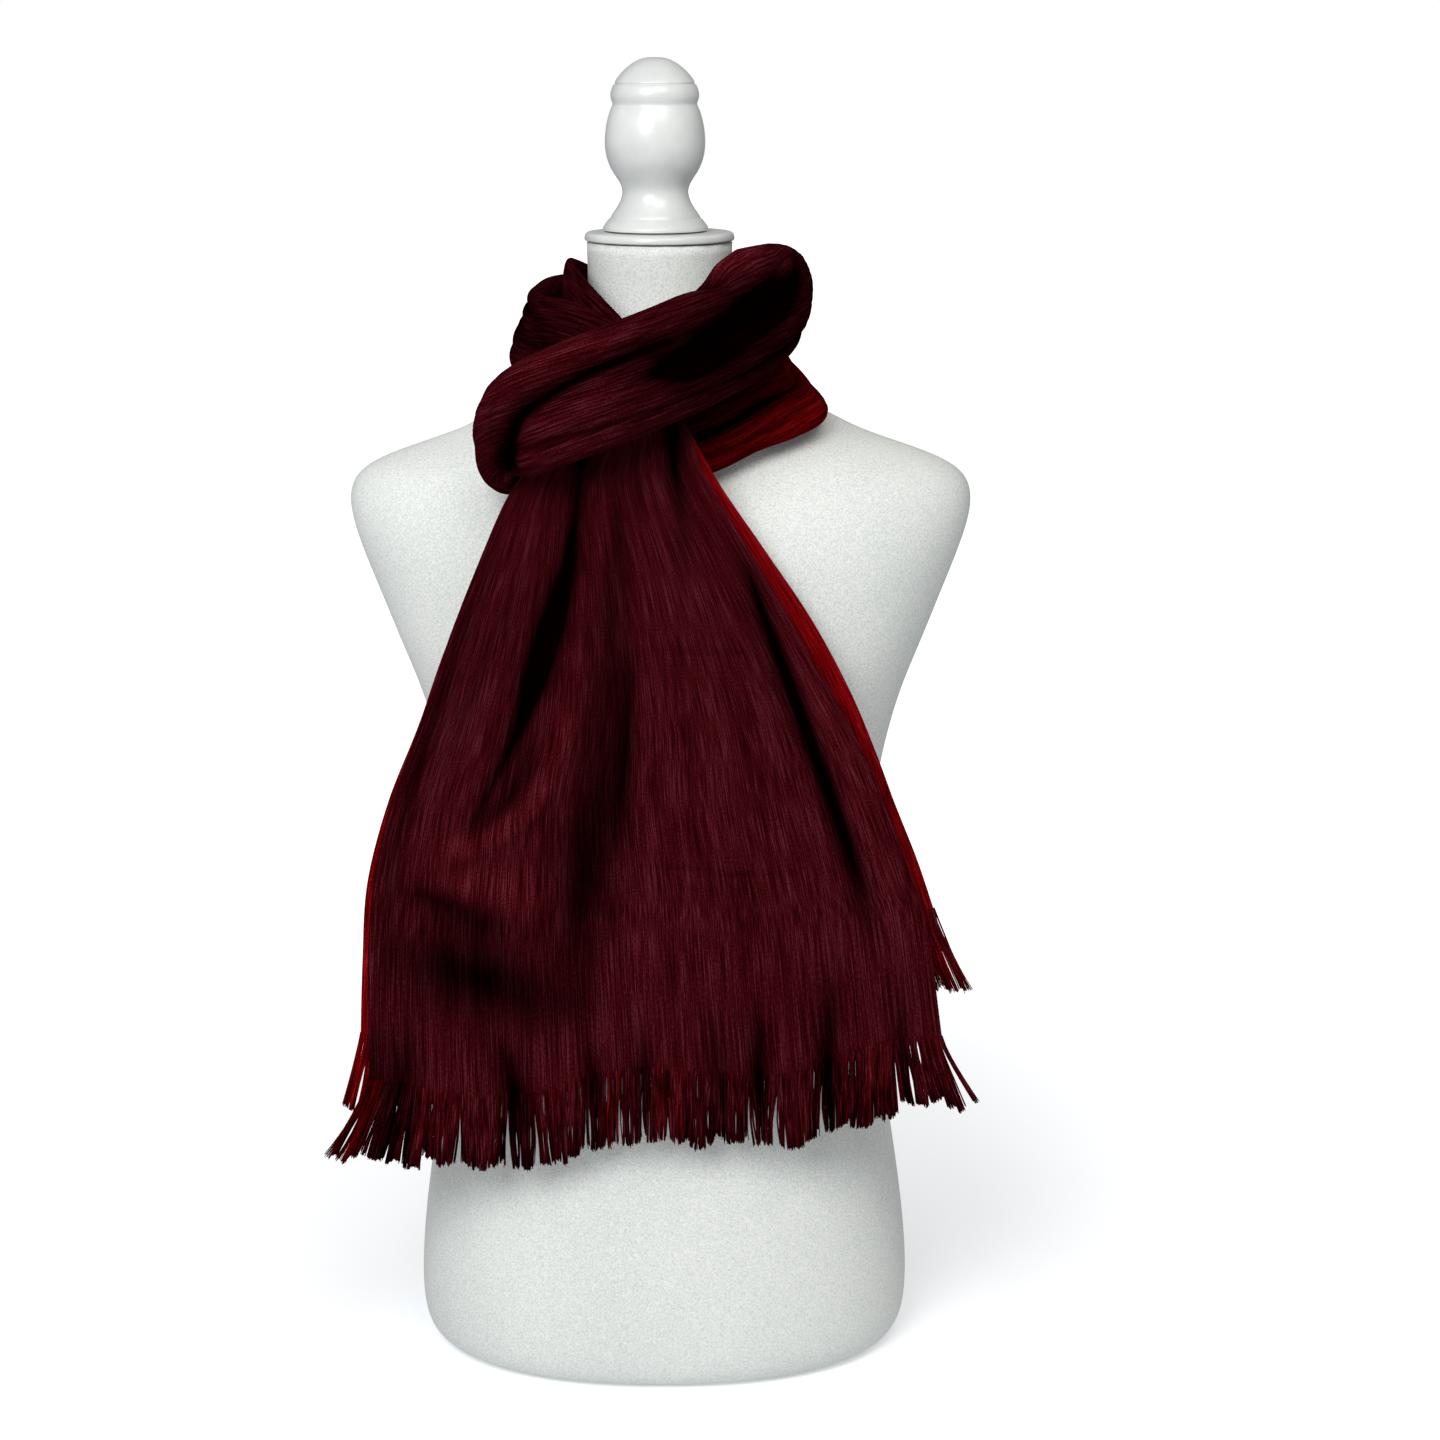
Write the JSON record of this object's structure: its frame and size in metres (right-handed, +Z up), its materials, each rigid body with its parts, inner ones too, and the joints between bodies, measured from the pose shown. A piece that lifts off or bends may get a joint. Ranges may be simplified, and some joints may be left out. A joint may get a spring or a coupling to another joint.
{
  "type": "scarf on a dress form",
  "caption": "Woven fringed scarf folded in half and pulled through its own loop, on a limbless tabletop dress form.",
  "frame": {"origin": "middle of the dress form's flat base, on the surface it stands on", "axes": "+Z up the form's neck, +X to the viewer's right as the form is faced, -Y to the front of the form"},
  "size_m": [0.3976, 0.2794, 0.8233],
  "materials": {
    "form_jersey": "matt fine-knit cotton jersey stretched over the form",
    "painted_wood": "white satin-gloss enamel on turned wood",
    "cloth_face": "brushed woven cloth, dark wine with black, red and mauve warp streaks",
    "cloth_reverse": "the cloth's brighter red reverse side, brushed",
    "fringe_yarn": "loose warp yarns in black, dark red and red"
  },
  "bodies": {
    "root": {"form_torso": "form_jersey", "neck_cap": "painted_wood", "finial": "painted_wood", "loop_front": "cloth_face", "loop_under": "cloth_reverse", "collar_left_outer": "cloth_face", "collar_left_inner": "cloth_reverse", "neck_back_upper": "cloth_face", "neck_back_lower": "cloth_reverse", "tail_front": "cloth_face", "fringe_front": "fringe_yarn", "tail_rear": "cloth_reverse", "fringe_rear": "fringe_yarn"}
  },
  "joints": []
}
